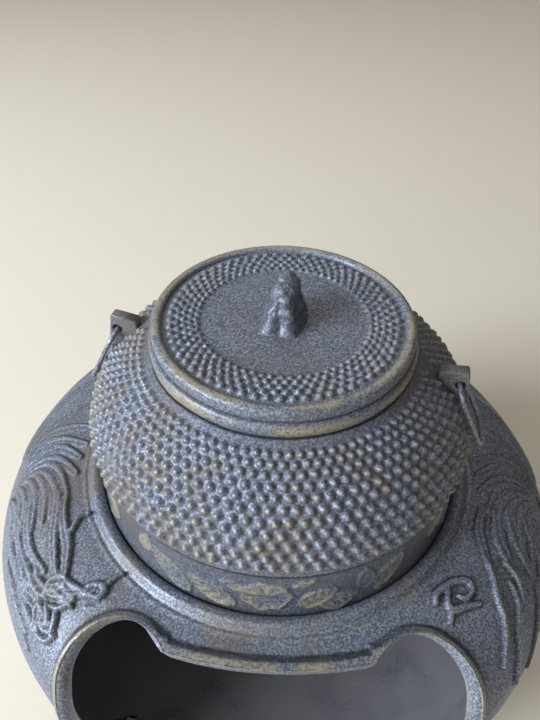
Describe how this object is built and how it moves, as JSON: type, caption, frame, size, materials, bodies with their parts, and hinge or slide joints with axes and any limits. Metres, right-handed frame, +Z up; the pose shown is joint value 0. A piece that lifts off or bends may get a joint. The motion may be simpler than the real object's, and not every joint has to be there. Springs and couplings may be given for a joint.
{
  "type": "tea kettle with brazier",
  "caption": "Round cast iron tea kettle with hobnail body, flat lidded mouth and loose side rings, seated in a matching footed brazier with a fire window and cast bird relief.",
  "frame": {"origin": "on the floor, under the middle of the brazier", "axes": "+Z up; -Y towards the fire window in front; +X to the right as seen from the front"},
  "size_m": [0.324, 0.3193, 0.2891],
  "materials": {
    "brazier_iron": "matt blue-grey cast skin with a fine sandy grain, worn to bronze brown on the window's lip",
    "kettle_iron": "matt cast skin, its hobnails and rims worn to a warm grey brown",
    "lid_iron": "fine sandy cast skin with a worn rounded rim",
    "knob_iron": "rough blackened cast skin",
    "ring_iron": "dark drawn iron wire, slightly polished by wear"
  },
  "bodies": {
    "brazier_body": {"brazier": "brazier_iron", "foot_front": "brazier_iron", "foot_left": "brazier_iron", "foot_right": "brazier_iron"},
    "kettle_body": {"kettle": "kettle_iron", "lug_left": "kettle_iron", "lug_right": "kettle_iron"},
    "lid_body": {"lid": "lid_iron", "knob": "knob_iron", "knob_washer": "ring_iron"},
    "left_ring": {"ring_left": "ring_iron"},
    "right_ring": {"ring_right": "ring_iron"}
  },
  "joints": [
    {"name": "kettle_lift", "type": "slide", "parent": "brazier_body", "child": "kettle_body", "axis": [0, 0, 1], "range_m": [0, 0.13]},
    {"name": "lid_lift", "type": "slide", "parent": "kettle_body", "child": "lid_body", "axis": [0, 0, 1], "range_m": [0, 0.06]},
    {"name": "left_ring_swing", "type": "hinge", "parent": "kettle_body", "child": "left_ring", "pos_m": [-0.08456, 0.01567, 0.2452], "axis": [0.1822, 0.9833, 0], "range_deg": [0, 180]},
    {"name": "right_ring_swing", "type": "hinge", "parent": "kettle_body", "child": "right_ring", "pos_m": [0.08456, -0.01567, 0.2452], "axis": [-0.1822, -0.9833, 0], "range_deg": [0, 180]}
  ]
}
